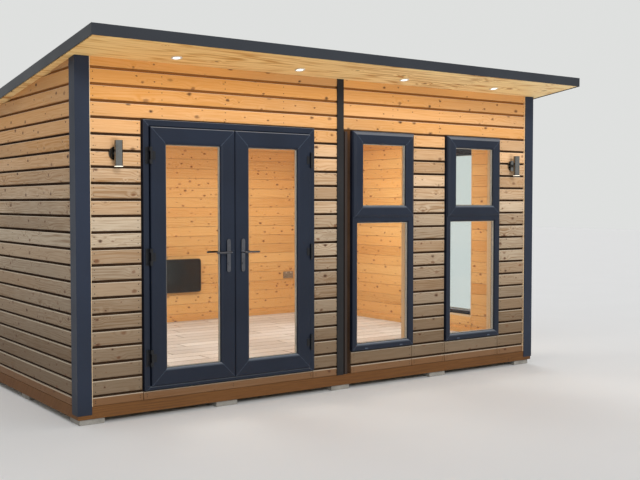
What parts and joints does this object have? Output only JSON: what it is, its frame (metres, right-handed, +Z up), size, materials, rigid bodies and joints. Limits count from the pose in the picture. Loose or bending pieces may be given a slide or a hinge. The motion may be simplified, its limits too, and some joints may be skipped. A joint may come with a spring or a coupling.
{
  "type": "garden office pod",
  "caption": "Timber garden office with pent roof, deep front canopy, glazed French doors, tall windows, horizontal board cladding and pine-lined room.",
  "frame": {"origin": "on the ground under the middle of the roof's outline", "axes": "+X to the right along the front, +Y from the front to the back, +Z up; the front faces -Y"},
  "size_m": [5.048, 4.271, 2.8947],
  "materials": {
    "concrete": "matte",
    "frame_timber": "matte",
    "laminate": "satin",
    "cladding_timber": "matte",
    "lining_pine": "satin",
    "soffit_ply": "matte",
    "anthracite": "satin",
    "clear_glass": "polished",
    "steel": "brushed",
    "roof_rubber": "matte",
    "trim_metal": "satin",
    "white_plastic": "gloss",
    "black_glass": "gloss"
  },
  "bodies": {
    "building": {"foundation_pads": "concrete", "floor_bearers": "frame_timber", "floor_deck": "frame_timber", "floor_finish": "laminate", "plinth_boards": "cladding_timber", "front_wall_left": "frame_timber", "front_wall_over_door": "frame_timber", "front_wall_right": "frame_timber", "left_wall": "frame_timber", "right_wall": "frame_timber", "back_wall": "frame_timber", "front_cladding": "cladding_timber", "left_cladding": "cladding_timber", "right_cladding": "cladding_timber", "back_cladding": "cladding_timber", "front_lining": "lining_pine", "left_lining": "lining_pine", "right_lining": "lining_pine", "back_lining": "lining_pine", "ceiling_lining": "lining_pine", "skirting": "lining_pine", "reveal_linings": "lining_pine", "corner_posts": "anthracite", "cover_strips": "anthracite", "door_frame": "anthracite", "door_hinge_pins": "anthracite", "window_1_frame": "anthracite", "window_1_sash": "anthracite", "window_1_glass": "clear_glass", "window_2_frame": "anthracite", "window_2_sash": "anthracite", "window_2_glass": "clear_glass", "side_window_frame": "anthracite", "side_window_sash": "anthracite", "side_window_glass": "clear_glass", "window_handles": "anthracite", "soffit": "soffit_ply", "roof_deck": "frame_timber", "roof_membrane": "roof_rubber", "roof_edge_trims": "trim_metal", "roof_corner_caps": "trim_metal", "downlights": "white_plastic", "wall_lights": "steel", "panel_heater": "black_glass", "wall_socket": "white_plastic"},
    "left_door": {"left_door_leaf": "anthracite", "left_door_glass": "clear_glass", "left_door_fittings": "steel"},
    "left_lever": {"left_door_lever": "steel"},
    "right_door": {"right_door_leaf": "anthracite", "right_door_glass": "clear_glass", "right_door_fittings": "steel"},
    "right_lever": {"right_door_lever": "steel"}
  },
  "joints": [
    {"name": "left_door_hinge", "type": "hinge", "parent": "building", "child": "left_door", "pos_m": [-1.8575, -1.6535, 1.2475], "axis": [0, 0, -1], "range_deg": [0, 95]},
    {"name": "right_door_hinge", "type": "hinge", "parent": "building", "child": "right_door", "pos_m": [-0.3625, -1.6535, 1.2475], "axis": [0, 0, 1], "range_deg": [0, 95]},
    {"name": "left_lever_turn", "type": "hinge", "parent": "left_door", "child": "left_lever", "pos_m": [-1.1775, -1.6225, 1.266], "axis": [0, -1, 0], "range_deg": [-45, 40], "stiffness_Nm_per_rad": 3, "springref_deg": -1.72},
    {"name": "right_lever_turn", "type": "hinge", "parent": "right_door", "child": "right_lever", "pos_m": [-1.0425, -1.6225, 1.266], "axis": [0, 1, 0], "range_deg": [-45, 40], "stiffness_Nm_per_rad": 3, "springref_deg": -1.72}
  ]
}
